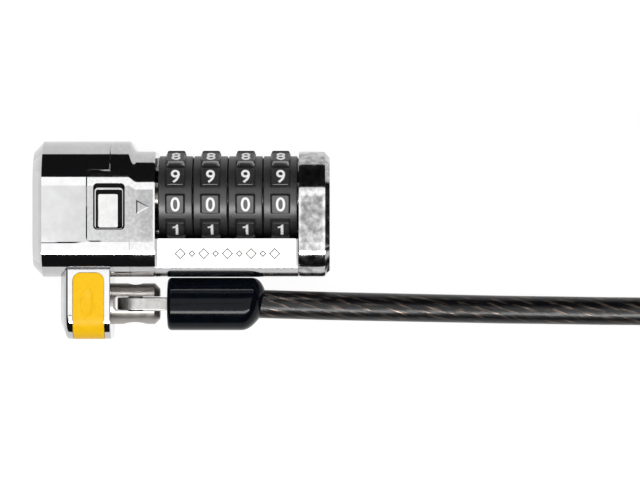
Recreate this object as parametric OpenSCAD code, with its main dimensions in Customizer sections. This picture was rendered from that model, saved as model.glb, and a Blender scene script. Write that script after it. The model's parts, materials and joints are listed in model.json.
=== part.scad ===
// Laptop cable lock with a four-wheel combination: a chrome lock head lying on its back,
// with a sprung release button, a swivelling cable clevis and 1.75 m of sheathed steel cable.
// X runs along the head towards the cable, Y across it, Z up from the surface it lies on.

/* [Lock head] */
// Length of the head, anchor end to end cap
head_len = 52; // [50:0.5:54]
// Depth of the head from its back to its front face
head_d = 22; // [21.8:0.1:24]
// Height of the head's upper edge across Y
head_top = 17.4; // [17:0.1:18]
// Lower edge of the head across Y
head_bottom = -6.5; // [-6.7:0.1:-6.4]
// Upper edge of the neck and the end cap
neck_top = 15.6; // [15.4:0.1:16]
// Rounding of the upper front edge
front_top_r = 8; // [7.4:0.1:8]
// Rounding of the lower front edge
front_low_r = 6.2; // [5.8:0.1:6.2]
// Rounding of both back edges
back_r = 4.8; // [4:0.1:5]

/* [Number wheels] */
// Distance from one wheel to the next
wheel_pitch = 6.125; // [6.1:0.005:6.15]
// Centre of the first wheel along X
wheel_x = -1; // [-1.05:0.05:-0.95]
// Height of the wheel axis across Y
axis_y = 7.6; // [7.55:0.05:7.65]
// Height of the wheel axis above the back
axis_z = 13.4; // [13.35:0.05:13.45]
// Radius of a wheel between its pads
drum_r = 7.2; // [7.15:0.05:7.25]
// Radius over the pads that carry the digits
pad_r = 8; // [7.9:0.05:8]
// Number of digits on a wheel
digits = 10; // [10]
// How far the digit to be read stands from the wheel's foremost line, towards the nameplate
index_turn = 10; // [8:1:12]

/* [Anchor socket] */
// Radius of the socket's bore
socket_r = 3.6; // [3.2:0.1:3.8]
// Length of the hardened bush
bush_len = 7.6; // [7:0.1:7.6]

/* [Release button] */
// Travel of the button, the latch and the spindle
press = 1.5; // [1:0.1:1.5]
// Size of the button along X
button_w = 5; // [4.8:0.1:5]
// Size of the button along Y
button_h = 7.4; // [7:0.1:7.4]

/* [Cable] */
// Radius of the sheathed cable
cable_r = 2.5; // [2.5]
// Height of the swivel axis across Y
swivel_y = -11.25; // [-11.3:0.05:-11.2]
// Radius of the swivelling clevis
clevis_r = 3.6; // [3.5:0.05:3.6]
// Radius of the strain relief boot
boot_r = 4.5; // [4.3:0.1:4.5]
// Mean radius of the coil
coil_r = 29; // [29]

/* [Hidden] */
$fn = 64;

// places along X, from the anchor end to the cap end
x_left = -head_len / 2;
x_right = head_len / 2;
x_tab = -16.3;         // left edge of the casting's tab around the button
x_seam = -12.3;        // seam between shell and casting above the tab
x_shoulder = -9;       // where the head steps down to the neck
x_neck = -7.8;         // where the neck starts
x_bay = -4.5;          // left side of the wheel bay
x_cap = 20.6;          // left side of the end cap
seam = 0.05;           // half of the gap along a seam
tab_low = -0.15;       // lower edge of the tab
tab_top = 12.1;        // upper edge of the tab
tab_back = 3;          // the shell's back wall passes behind the tab at this depth
end_bevel = 1.3;       // bevel of the anchor end, along X
cap_bevel = 1.1;       // bevel of the cap end, along X
bay_r = 8.4;           // clearance around the wheels
bay_top = 14.6;        // upper edge of the back wall behind the wheels
lip_z = 6.5;           // height of that wall's upper lip
plate_z = 20;          // floor of the nameplate's seat
plate_t = 0.6;         // thickness of the nameplate
plate_low = -4.75;     // lower edge of the nameplate
plate_top = 0.3;       // upper edge of the nameplate

// mechanism
core_r = 2.5;          // radius of the spindle
run_gap = 0.1;         // running clearance around the spindle
fin_r = 4;             // reach of the spindle's fins
fin_w = 1.7;           // width of a fin
fin_t = 1.4;           // thickness of a fin
fin_back = 4.5;        // a fin's left face, left of its wheel's centre
ring_r = 5.2;          // outside radius of a code ring
ring_half = 2.9;       // half the width of a code ring
flange_t = 1.6;        // thickness of the code ring's gated flange
pocket_r = 4.3;        // space in which a fin can turn
wheel_half = 2.98;     // half the width of a number wheel
pad_h = 3.4;           // length of a pad round the wheel
pad_base = 1.75;       // half its width at the drum
pad_face = 1.45;       // half its width at the face
leaf_y = -1;           // lower face of the detent spring's leaf
leaf_t = 0.3;          // thickness of that leaf
bump_r = 0.6;          // radius of a finger's bump
bump_at = 7.95;        // distance of a bump from the wheel axis, between two pads
cavity_low = 1.3;      // lower side of the mechanism's cavity across Y
cavity_top = 10.9;     // upper side of that cavity
cavity_front = 20.45;  // front side of that cavity
x_cavity = -8;         // right side of that cavity
latch_x = -17.95;      // left face of the latch plate
latch_t = 1.1;         // thickness of the latch plate
latch_hole_r = 3.8;    // the latch plate's hole
latch_low = 4.6;       // lower edge of the latch plate
latch_front = 19.6;    // front edge of the latch plate
arm_t = 1.4;           // thickness of the arm under the button
arm_w = 3.6;           // width of that arm
nose_x = -11;          // where the spindle's slanted nose crosses its axis
nose_gap = 0.15;       // distance along X between the nose and the wedge
button_x = -12.45;     // middle of the button along X
button_y = 5.85;       // middle of the button across Y
well_w = 5.5;          // size of the button's well along X
well_h = 8.1;          // size of the button's well along Y
spring_r = 0.75;       // coil radius of the latch spring
spring_wire = 0.2;     // wire radius of both coil springs
spindle_spring_r = 1.8; // mean radius of the spindle's return spring
spring_top = 8.2;      // where the latch spring meets the plate

// end cap
spindle_end = 21.4;    // right end of the spindle
screw_x = 24.25;       // inner face of the reset screw
screw_r = 3.2;         // radius of the reset screw
cap_screw_y = -4.1;    // the cap screws' height across Y
cap_screw_z = [5.4, 17.6]; // the cap screws' heights above the back
dowel_y = [14.6, -3.6]; // the dowels' heights across Y
dowel_z = 5.5;         // the dowels' height above the back
mark_y = 5.8;          // height of both index marks across Y

// cable lug, clevis and cable end
swivel_z = 12.4;       // height of the swivel axis above the back
lug_left = -21.1;      // sides of the lug along X
lug_right = -12.35;
lug_low = -17.4;       // lower edge of the lug across Y
lug_back = 4.5;        // back and front of the lug
lug_front = 20.25;
lug_r = 4.3;           // rounding of the lug's lower edges
lug_pin_y = -4.5;      // height of the lug's pin across Y
insert_left = -18.9;   // sides of the insert along X
insert_right = -13.45;
insert_top = -5.7;     // upper edge of the insert across Y
clevis_end = -3.95;    // open end of the clevis
clevis_slot = 2.6;     // width of the clevis slot
slot_end = -12.05;     // closed end of the clevis slot
clip_r = 4.4;          // outside radius of the clevis's retaining clip
pin_x = -8.3;          // the cable's pivot
pin_r = 1.3;           // radius of that pivot's pin
eye_r = 3.2;           // radius of the cable's eye
eye_t = 2.2;           // thickness of the cable's eye
boot_left = -2.6;
boot_right = 14.2;
sleeve_r = 3.2;
rope_r = 1.85;

// cable route, coil and loop
sides = 12;
route = [[11.8, -11.25, 12.4], [17, -11.4, 12.4], [22, -11.55, 12.2], [27, -11.7, 11.7],
    [33, -11.85, 10.7], [39, -12, 9.3], [45, -12.15, 7.8], [51, -12.3, 6.2], [57, -12.45, 4.7],
    [63, -12.55, 3.5], [69, -12.65, 2.8], [75, -12.75, 2.5], [81, -12.8, 2.5], [88, -12.9, 2.5],
    [95, -12.9, 2.5], [103, -12.9, 2.5], [112, -12.9, 2.5]];
coil_x = 119.5;
coil_y = 21.1;
coil_side = 15;        // width and height of the coiled bundle
// from the coil's top turn over the bundle to the ferrule, from the coil's centre
tail_run = [[-31.95, 11.63, 12.5], [-33.26, 7.07, 12.8], [-34, 2, 13.3], [-33.8, -2.8, 14.2],
    [-32.4, -7.4, 15.6], [-29.5, -11.7, 17], [-25.3, -15.2, 17.9], [-20.2, -17.1, 18.15]];
ferrule_run = [-16.5, -14.9, 18.15];
ferrule_len = 14;
ferrule_r = 3.1;
ferrule_gap = 2.6;     // each cable's distance from the ferrule's middle
loop_r = 17.5;         // bend at the far end of the loop
loop_far = 36.9;       // centre of that bend, from the ferrule
loop_drop = 0.6;       // how far the bend lies below the ferrule's middle

function wheel_at(i) = wheel_x + wheel_pitch * i;

// ---- helpers ----
// extrudes a Y-Z outline from x0 to x1
module along_x(x0, x1) translate([x0, 0, 0]) rotate([90, 0, 90]) linear_extrude(x1 - x0) children();

// extrudes an X-Z outline from y0 to y1
module along_y(y0, y1) translate([0, y1, 0]) rotate([90, 0, 0]) linear_extrude(y1 - y0) children();

// round bar along X about the point (y, z)
module bar_x(r, x0, x1, y, z) translate([x0, y, z]) rotate([0, 90, 0]) cylinder(r = r, h = x1 - x0);

module block(x0, x1, y0, y1, z0, z1) translate([x0, y0, z0]) cube([x1 - x0, y1 - y0, z1 - z0]);

// Y-Z outline with its own radius at each corner
module outline(y0, y1, z0, z1, r_low_back, r_top_back, r_top_front, r_low_front) {
    polygon([[y0 + r_low_back, z0], [y1 - r_top_back, z0], [y1, z0 + r_top_back],
        [y1, z1 - r_top_front], [y1 - r_top_front, z1], [y0 + r_low_front, z1],
        [y0, z1 - r_low_front], [y0, z0 + r_low_back]]);
    translate([y0 + r_low_back, z0 + r_low_back]) circle(r_low_back);
    translate([y1 - r_top_back, z0 + r_top_back]) circle(r_top_back);
    translate([y1 - r_top_front, z1 - r_top_front]) circle(r_top_front);
    translate([y0 + r_low_front, z1 - r_low_front]) circle(r_low_front);
}

module head_outline(inset = 0) outline(head_bottom + inset, head_top - inset, inset,
    head_d - inset, back_r - inset, back_r - inset, front_top_r - inset, front_low_r - inset);

module neck_outline(inset = 0) outline(head_bottom + inset, neck_top - inset, inset,
    head_d - inset, back_r - inset, back_r - inset, front_top_r - inset, front_low_r - inset);

// closed tube of radius r along a list of points
function unit(v) = v / norm(v);
function heading(pts, i) = unit(pts[min(i + 1, len(pts) - 1)] - pts[max(i - 1, 0)]);
function ring_at(pts, i, r, n) = let (h = heading(pts, i), s = unit(cross([0, 0, 1], h)), u = cross(h, s))
    [for (k = [0:n - 1]) pts[i] + r * (cos(360 * (k + 0.5) / n) * s + sin(360 * (k + 0.5) / n) * u)];
module tube(pts, r, n) {
    m = len(pts);
    polyhedron(points = [for (i = [0:m - 1]) each ring_at(pts, i, r, n)],
        faces = concat([[for (k = [0:n - 1]) k]],
            [for (i = [0:m - 2], k = [0:n - 1])
                [i * n + k, (i + 1) * n + k, (i + 1) * n + (k + 1) % n, i * n + (k + 1) % n]],
            [[for (k = [n - 1:-1:0]) (m - 1) * n + k]]));
}

// coil spring about Z from z = 0 to z = h
module coil_spring(r, wire, h, turns) {
    steps = 14;
    tube([for (i = [0:turns * steps]) [r * cos(360 * i / steps), r * sin(360 * i / steps),
        wire + (h - 2 * wire) * i / (turns * steps)]], wire, 6);
}

// ---- housing ----
module head_shell() color("gainsboro") difference() {
    union() {
        hull() {
            along_x(x_left, x_left + 0.01) outline(head_bottom + 1.75, head_top - 1.75, 2,
                head_d - 2.9, back_r - 1.7, back_r - 1.7, front_top_r - 2.2, front_low_r - 2.2, $fn = 32);
            along_x(x_left + end_bevel, x_left + end_bevel + 0.01) head_outline($fn = 32);
        }
        along_x(x_left + end_bevel, x_shoulder - seam) head_outline();
    }
    block(x_tab - seam, x_shoulder + 1, tab_low - seam, tab_top + seam, tab_back - seam, head_d + 1);
    block(x_seam - seam, x_shoulder + 1, tab_top - 1, head_top + 1, -1, head_d + 1);
    // seat of the bush, slot of the latch plate and room for the anchor's tip
    bar_x(5.2, x_left - 1, x_left + 0.2 + bush_len, axis_y, axis_z);
    block(latch_x - 0.25, x_tab + 1, 0.1, tab_top - 0.1, tab_back, latch_front + 0.4);
    translate([latch_x + latch_t / 2, axis_y, tab_back]) cylinder(r = 1.25, h = 6);
    lug_tenon(0.05);
    translate([(lug_left + lug_right) / 2, lug_pin_y, -1]) cylinder(r = 1, h = 16.5);
    pin_holes();
}

module wheel_frame() color("silver") difference() {
    union() {
        along_x(x_seam + seam, x_shoulder) intersection() {
            head_outline();
            translate([tab_top + seam, -1]) square([10, head_d + 2]);
        }
        block(x_tab + seam, x_shoulder, tab_low + seam, tab_top + 0.5, tab_back + seam, head_d);
        // slanted shoulder between the head's upper edge and the neck's
        difference() {
            along_x(x_shoulder, x_neck) head_outline();
            translate([0, 0, -1]) linear_extrude(head_d + 2)
                polygon([[x_shoulder, head_top], [x_neck, neck_top], [x_neck + 1, neck_top],
                    [x_neck + 1, head_top + 1], [x_shoulder, head_top + 1]]);
        }
        along_x(x_neck, x_bay) neck_outline();
        along_x(x_bay, x_cap - seam) bay_outline();
    }
    // seam step above the tab's upper left corner
    block(x_tab - 1, x_seam + seam, tab_top - seam, tab_top + 1, tab_back - 1, head_d + 1);
    // button well, mechanism cavity, spindle bore and the first fin's pocket
    button_prism(well_w, well_h, 15, head_d + 1, 0.7);
    block(x_tab - 1, x_cavity, cavity_low, cavity_top, tab_back - 1, cavity_front);
    bar_x(core_r + run_gap, x_cavity - 1, x_bay + 1, axis_y, axis_z);
    bar_x(pocket_r, x_bay - 1.4, x_bay + 1, axis_y, axis_z);
    // index mark on the neck
    translate([x_neck, mark_y, head_d - 0.2])
        linear_extrude(1) polygon([[0, -1.3], [2.4, 0], [0, 1.3]]);
    // slot of the detent spring
    block(x_bay + 0.2, x_cap - 0.2, leaf_y - 0.15, plate_top, 9.1, 15.7);
    cap_screw_holes();
    pin_holes();
}

// Y-Z section of the casting in the wheel bay: back wall, keel and the nameplate's ledge
module bay_outline() difference() {
    outline(head_bottom, bay_top, 0, head_d, back_r, back_r, 1, front_low_r);
    translate([axis_y, axis_z]) circle(bay_r);
    translate([axis_y, lip_z]) square([30, 30]);
    translate([plate_top, axis_z]) square([30, 30]);
    translate([plate_low, plate_z]) square([30, 30]);
}

module end_cap() color("silver") difference() {
    union() {
        along_x(x_cap, x_right - cap_bevel) neck_outline();
        hull() {
            along_x(x_right - cap_bevel - 0.01, x_right - cap_bevel) neck_outline($fn = 32);
            along_x(x_right - 0.01, x_right) neck_outline(inset = cap_bevel, $fn = 32);
        }
    }
    bar_x(core_r + run_gap, x_cap - 1, x_right - 2, axis_y, axis_z);
    bar_x(screw_r + 0.05, 23, x_right + 1, axis_y, axis_z);
    cap_screw_holes();
    // index mark that faces the neck's
    translate([x_right - 2.4, mark_y, head_d - 0.2])
        linear_extrude(1) polygon([[0, -1.2], [0, 1.2], [-2.2, 0]]);
}

module nameplate() color("whitesmoke")
    block(x_bay + 0.4, x_cap - 0.4, plate_low, plate_top, plate_z, plate_z + plate_t);

module socket_bush() color("dimgray") difference() {
    bar_x(5.15, x_left + 0.2, x_left + 0.2 + bush_len, axis_y, axis_z);
    bar_x(socket_r, x_left - 1, x_left + 10, axis_y, axis_z);
    translate([x_left + 0.19, axis_y, axis_z]) rotate([0, 90, 0])
        cylinder(r1 = socket_r + 0.5, r2 = socket_r, h = 0.5);
}

module cap_screw_holes() for (z = cap_screw_z) {
    bar_x(0.95, 15.9, x_right, cap_screw_y, z);
    bar_x(1.55, 24.3, x_right + 1, cap_screw_y, z);
}

module cap_screws() color("gray") for (z = cap_screw_z) difference() {
    union() {
        bar_x(0.9, 16, 24.5, cap_screw_y, z);
        bar_x(1.5, 24.35, 25.5, cap_screw_y, z);
    }
    translate([24.8, cap_screw_y, z]) rotate([0, 90, 0]) cylinder(r = 0.85, h = 1, $fn = 6);
}

// two dowels that locate the casting in the shell
module pin_holes() for (y = dowel_y) bar_x(1, -14, -6, y, dowel_z);

module head_pins() color("gray") for (y = dowel_y) bar_x(0.97, -13.95, -6.05, y, dowel_z);

// ---- release mechanism ----
// rounded block about the button's middle
module button_prism(w, h, z0, z1, r) translate([button_x, button_y, z0]) linear_extrude(z1 - z0) {
    square([w - 2 * r, h], center = true);
    square([w, h - 2 * r], center = true);
    for (x = [-1, 1], y = [-1, 1]) translate([x * (w / 2 - r), y * (h / 2 - r)]) circle(r);
}

module push_button() color("whitesmoke") {
    button_prism(button_w, button_h, latch_front + 0.03, head_d - 0.9, 0.5);
    // the raised pad that the finger pushes, off centre towards the anchor and the keel
    hull() {
        translate([button_x - 2.2, 2.1, head_d - 0.91]) cube([4.2, 6.7, 0.1]);
        translate([button_x - 1.9, 2.25, head_d - 0.15]) cube([3.5, 5.8, 0.05]);
    }
    // flange that keeps the button in its well
    button_prism(button_w + 1, button_h + 1, latch_front + 0.03, cavity_front - 0.1, 0.5);
}

module latch_plate() color("darkgray") {
    difference() {
        block(latch_x, latch_x + latch_t, 0.4, 11.85, latch_low, latch_front);
        bar_x(latch_hole_r, latch_x - 1, latch_x + 3, axis_y, axis_z + press);
        block(latch_x - 1, latch_x + 3, axis_y - 1.15, axis_y + 1.15, latch_low - 1, spring_top);
    }
    // arm under the button, with the wedge that drives the spindle
    along_y(axis_y - arm_w / 2, axis_y + arm_w / 2) polygon([
        [latch_x + latch_t, latch_front - arm_t], [latch_x + latch_t, latch_front],
        [-9, latch_front], [-9, wedge_z(-9)], [-14, wedge_z(-14)], [-14, latch_front - arm_t]]);
}

// height of the wedge's 45 degree face at x
function wedge_z(x) = axis_z + x - nose_x + nose_gap;

module latch_spring() color("lightgray")
    translate([latch_x + latch_t / 2, axis_y, tab_back + 0.02])
        coil_spring(spring_r, spring_wire, spring_top - tab_back - 0.04, 5);

module spindle() color("darkgray") difference() {
    union() {
        bar_x(core_r, -15, spindle_end, axis_y, axis_z);
        for (i = [0:3]) translate([wheel_at(i) - fin_back, axis_y - fin_w / 2, axis_z - fin_r])
            cube([fin_t, fin_w, fin_r]);
    }
    // slanted nose
    along_y(axis_y - 5, axis_y + 5) polygon([[-20, axis_z + 8], [nose_x + 8, axis_z + 8],
        [nose_x - 8, axis_z - 8], [-20, axis_z - 8]]);
}

module spindle_spring() color("lightgray")
    translate([spindle_end + 0.02, axis_y, axis_z]) rotate([0, 90, 0])
        coil_spring(spindle_spring_r, spring_wire, screw_x - spindle_end - 0.04, 4);

module reset_screw() color("gray") difference() {
    bar_x(screw_r, screw_x, x_right - 0.3, axis_y, axis_z);
    block(x_right - 1.1, x_right + 1, axis_y - 0.45, axis_y + 0.45, axis_z - 5, axis_z + 5);
}

// ---- number wheels ----
module number_wheel(i) color("dimgray") translate([wheel_at(i), axis_y, axis_z]) difference() {
    union() {
        rotate([0, 90, 0]) cylinder(r = drum_r, h = 2 * wheel_half, center = true);
        for (k = [0:digits - 1]) rotate([360 * k / digits + index_turn, 0, 0])
            rotate([90, 0, 0]) linear_extrude(pad_h, center = true)
                polygon([[-pad_base, drum_r - 0.4], [-pad_face, pad_r], [pad_face, pad_r],
                    [pad_base, drum_r - 0.4]]);
    }
    rotate([0, 90, 0]) cylinder(r = ring_r + 0.05, h = 20, center = true);
    for (k = [0:digits - 1]) rotate([360 * (k + 0.5) / digits, 0, 0])
        translate([-10, -0.6, 0]) cube([20, 1.2, ring_r + 0.75]);
}

// code ring: turns with its wheel, and its gate lets a fin of the spindle pass at one digit only
module code_ring(i) color("goldenrod") translate([wheel_at(i), axis_y, axis_z]) difference() {
    union() {
        rotate([0, 90, 0]) cylinder(r = ring_r, h = 2 * ring_half, center = true);
        for (k = [0:digits - 1]) rotate([360 * (k + 0.5) / digits, 0, 0])
            translate([-ring_half, -0.5, ring_r - 0.5]) cube([2 * ring_half, 1, 1.1]);
    }
    rotate([0, 90, 0]) cylinder(r = core_r + run_gap, h = 20, center = true);
    translate([flange_t - ring_half, 0, 0]) rotate([0, 90, 0]) cylinder(r = pocket_r, h = 20);
    translate([-10, -fin_w / 2 - 0.1, -fin_r - 0.15]) cube([20, fin_w + 0.2, fin_r]);
}

// leaf spring in the keel, with one finger under each wheel
module detent_spring() color("lightgray") {
    difference() {
        block(x_bay + 0.4, x_cap - 0.4, leaf_y, leaf_y + leaf_t, 9.3, 15.5);
        for (i = [0:2]) block(wheel_at(i) + wheel_pitch / 2 - 0.5, wheel_at(i) + wheel_pitch / 2 + 0.5,
            leaf_y - 1, leaf_y + 1, 9, 14);
    }
    for (i = [0:3]) bar_x(bump_r, wheel_at(i) - 1.2, wheel_at(i) + 1.2,
        axis_y - bump_at * cos(index_turn), axis_z - bump_at * sin(index_turn));
}

// ---- cable lug and clevis ----
module lug_outline(top) outline(lug_low, top, lug_back, lug_front, lug_r, 0.5, 0.5, lug_r);

module lug_tenon(gap = 0) block(-19.5 - gap, -14.5 + gap, -6.8, -2.6 + gap, 9 - gap, 15 + gap);

// the head's own space, a little larger, that the lug and its insert keep clear of
module head_room(x0, x1) along_x(x0, x1) outline(head_bottom - 0.05, head_top, -0.05,
    head_d + 0.05, back_r, back_r, front_top_r, front_low_r + 0.05);

module cable_lug() color("gainsboro") difference() {
    union() {
        difference() {
            along_x(lug_left, lug_right) lug_outline(-5.1);
            head_room(lug_left - 1, lug_right + 1);
        }
        lug_tenon();
    }
    // seat of the insert
    block(insert_left - 0.05, insert_right + 0.05, lug_low - 1, -8, 0, lug_front + 1);
    block(insert_left - 0.05, insert_right + 0.05, lug_low - 1, insert_top + 0.05, 17.45, lug_front + 1);
    // bearings of the clevis and of its shaft's end, with room for the clip
    bar_x(clevis_r + 0.05, insert_left, lug_right + 1, swivel_y, swivel_z);
    bar_x(clip_r + 0.1, -14.6, insert_right + 0.05, swivel_y, swivel_z);
    bar_x(2.05, -20.3, insert_left + 1, swivel_y, swivel_z);
    translate([(lug_left + lug_right) / 2, lug_pin_y, -1]) cylinder(r = 1, h = 16.5);
}

module lug_pin() color("gray")
    translate([(lug_left + lug_right) / 2, lug_pin_y, 0.1]) cylinder(r = 0.97, h = 15.2);

module lug_insert() color("gold") {
    difference() {
        along_x(insert_left, insert_right) lug_outline(insert_top);
        // room for the shaft, the clip, the lug's upper wall and the head
        block(insert_left - 1, insert_right + 1, -16.1, 0, lug_back - 1, 17.5);
        head_room(insert_left - 1, insert_right + 1);
        // chamfered upper corners of the front face
        for (x = [insert_left, insert_right]) translate([x, insert_top, 15]) rotate([0, 0, 45])
            cube([2, 2, 12], center = true);
    }
    // back wall of the insert
    block(insert_left, insert_right, -16.2, -8.6, lug_back + 0.1, 6.6);
    // plain oval boss
    translate([(insert_left + insert_right) / 2, -11, lug_front - 0.3]) linear_extrude(0.55) {
        square([2.4, 3.2], center = true);
        for (s = [-1, 1]) translate([0, 1.6 * s]) circle(1.2);
    }
}

module swivel_clevis() color("darkgray") difference() {
    union() {
        bar_x(clevis_r, -16.6, clevis_end - 0.9, swivel_y, swivel_z);
        translate([clevis_end - 0.9, swivel_y, swivel_z]) rotate([0, 90, 0])
            cylinder(r1 = clevis_r, r2 = clevis_r - 0.9, h = 0.9);
        bar_x(2, -20.2, -16.5, swivel_y, swivel_z);
    }
    // groove of the clip
    difference() {
        bar_x(5, -14.55, -13.75, swivel_y, swivel_z);
        bar_x(3, -15, -13, swivel_y, swivel_z);
    }
    // slot for the cable's eye, and the pin's hole
    block(slot_end, 0, swivel_y - clevis_slot / 2, swivel_y + clevis_slot / 2, swivel_z - 5, swivel_z + 5);
    translate([pin_x, swivel_y + 6, swivel_z]) rotate([90, 0, 0]) cylinder(r = pin_r, h = 12);
    translate([pin_x, swivel_y - clevis_r + 0.35, swivel_z]) rotate([90, 0, 0])
        cylinder(r1 = 1.5, r2 = 2.4, h = 1);
}

module swivel_clip() color("gray") difference() {
    bar_x(clip_r, -14.5, -13.8, swivel_y, swivel_z);
    bar_x(3.05, -15, -13, swivel_y, swivel_z);
    block(-15, -13, swivel_y - 1.8, swivel_y + 1.8, swivel_z, swivel_z + 6);
}

module clevis_pin() color("silver")
    translate([pin_x, swivel_y + clevis_r - 0.25, swivel_z]) rotate([90, 0, 0])
        cylinder(r = pin_r - 0.01, h = 2 * clevis_r - 0.65);

// steel eye on the cable's end, in one piece with the crimped sleeve inside the boot
module cable_terminal() color("lightgray") difference() {
    union() {
        translate([pin_x, swivel_y + eye_t / 2, swivel_z]) rotate([90, 0, 0]) cylinder(r = eye_r, h = eye_t);
        block(pin_x, -1, swivel_y - eye_t / 2, swivel_y + eye_t / 2, swivel_z - 2.6, swivel_z + 2.6);
        bar_x(sleeve_r, -1.4, 11.2, swivel_y, swivel_z);
    }
    translate([pin_x, swivel_y + 5, swivel_z]) rotate([90, 0, 0]) cylinder(r = pin_r + 0.05, h = 10);
    bar_x(rope_r + 0.03, 1, 12, swivel_y, swivel_z);
}

// stripped end of the steel rope, crimped in the sleeve
module rope_end() color("silver") bar_x(rope_r, 1.05, 11.75, swivel_y, swivel_z);

module cable_boot() color("#1c1e22") difference() {
    union() {
        bar_x(boot_r - 0.6, boot_left, 12, swivel_y, swivel_z);
        bar_x(boot_r, boot_left + 0.6, 11.4, swivel_y, swivel_z);
        translate([boot_left + 0.6, swivel_y, swivel_z]) rotate([0, 90, 0])
            rotate_extrude() translate([boot_r - 0.6, 0]) circle(0.6);
        translate([11.4, swivel_y, swivel_z]) rotate([0, 90, 0])
            cylinder(r1 = boot_r, r2 = 3.2, h = boot_right - 11.4);
    }
    bar_x(sleeve_r + 0.03, boot_left + 1.1, 11.25, swivel_y, swivel_z);
    bar_x(cable_r + 0.05, 11, 20, swivel_y, swivel_z);
    block(boot_left - 1, boot_left + 2, swivel_y - 1.15, swivel_y + 1.15, swivel_z - 2.65, swivel_z + 2.65);
}

// ---- cable ----
module cable_run() color("#26282c") tube(route, cable_r, sides);

// closed outer shape of the coiled cable
module cable_coil() color("#26282c") translate([coil_x, coil_y, 0]) rotate_extrude($fn = 96)
    translate([coil_r - coil_side / 2, 0]) {
        translate([0, 2]) square([coil_side, coil_side - 4]);
        translate([2, 0]) square([coil_side - 4, coil_side]);
        for (x = [2, coil_side - 2], z = [2, coil_side - 2]) translate([x, z]) circle(2);
    }

module coil_tie() color("#111111") translate([coil_x, coil_y, 0]) rotate([0, 0, 135])
    translate([coil_r, 6, 0]) rotate([90, 0, 0]) linear_extrude(12) difference() {
        translate([-coil_side / 2 - 0.8, 0]) square([coil_side + 1.6, coil_side + 0.8]);
        translate([-coil_side / 2, 0.6]) square([coil_side, coil_side - 0.6]);
    }

// loop at the far end, from the ferrule's far face: out along one side, round, and back into the ferrule
loop_side = [[0, ferrule_gap], [5.7, 3.4], [10.9, 5.4], [16.6, 8.6], [22.4, 11.9]];
loop_path = concat([[-ferrule_len, -ferrule_gap, 0]],
    [for (p = loop_side) [p[0], -p[1], 0]],
    [for (a = [-120:20:120]) [loop_far + loop_r * cos(a), loop_r * sin(a), -loop_drop]],
    [for (k = [len(loop_side) - 1:-1:0]) [loop_side[k][0], loop_side[k][1], 0]],
    [[0.5 - ferrule_len, ferrule_gap, 0]]);
loop_start = ferrule_run + [ferrule_len, 0, 0];

module cable_loop() color("#26282c") translate([coil_x, coil_y, 0])
    tube(concat(tail_run, [for (p = loop_path) loop_start + p]), cable_r, sides);

module loop_ferrule() color("darkgray") translate([coil_x, coil_y, 0] + ferrule_run)
    along_x(0, ferrule_len) difference() {
        union() {
            square([2 * ferrule_gap, 2 * ferrule_r], center = true);
            for (s = [-1, 1]) translate([ferrule_gap * s, 0]) circle(ferrule_r);
        }
        for (s = [-1, 1]) translate([ferrule_gap * s, 0]) circle(cable_r + 0.03);
    }

head_shell();
wheel_frame();
end_cap();
nameplate();
socket_bush();
push_button();
latch_plate();
latch_spring();
spindle();
spindle_spring();
number_wheel(0);  // number_wheel_1
number_wheel(1);  // number_wheel_2
number_wheel(2);  // number_wheel_3
number_wheel(3);  // number_wheel_4
code_ring(0);  // code_ring_1
code_ring(1);  // code_ring_2
code_ring(2);  // code_ring_3
code_ring(3);  // code_ring_4
detent_spring();
reset_screw();
cap_screws();
head_pins();
cable_lug();
lug_pin();
lug_insert();
swivel_clevis();
swivel_clip();
clevis_pin();
cable_terminal();
rope_end();
cable_boot();
cable_run();
cable_coil();
coil_tie();
cable_loop();
loop_ferrule();
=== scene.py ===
import json
import math

import bmesh
import bpy
from mathutils import Matrix, Vector


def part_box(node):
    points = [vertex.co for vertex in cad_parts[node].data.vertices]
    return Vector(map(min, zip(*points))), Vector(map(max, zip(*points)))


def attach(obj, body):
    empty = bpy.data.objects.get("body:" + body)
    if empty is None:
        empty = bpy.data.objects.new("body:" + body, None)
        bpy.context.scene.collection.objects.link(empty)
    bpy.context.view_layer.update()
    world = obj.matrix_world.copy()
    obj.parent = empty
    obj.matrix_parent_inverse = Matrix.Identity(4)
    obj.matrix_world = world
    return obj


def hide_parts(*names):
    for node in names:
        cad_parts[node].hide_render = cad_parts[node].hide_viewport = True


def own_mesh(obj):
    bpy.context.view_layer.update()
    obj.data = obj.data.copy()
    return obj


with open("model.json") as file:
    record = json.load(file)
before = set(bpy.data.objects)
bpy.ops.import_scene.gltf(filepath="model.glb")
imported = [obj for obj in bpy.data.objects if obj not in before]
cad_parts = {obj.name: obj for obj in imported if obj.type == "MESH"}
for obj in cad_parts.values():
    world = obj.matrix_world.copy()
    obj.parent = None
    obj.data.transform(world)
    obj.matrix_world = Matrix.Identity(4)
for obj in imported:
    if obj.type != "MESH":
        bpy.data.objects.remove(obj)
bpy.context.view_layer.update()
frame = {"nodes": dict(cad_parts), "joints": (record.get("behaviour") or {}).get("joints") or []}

MM = 0.001
joints = {j["name"]: j for j in frame["joints"]}
sin, cos, pi = math.sin, math.cos, math.pi

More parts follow.
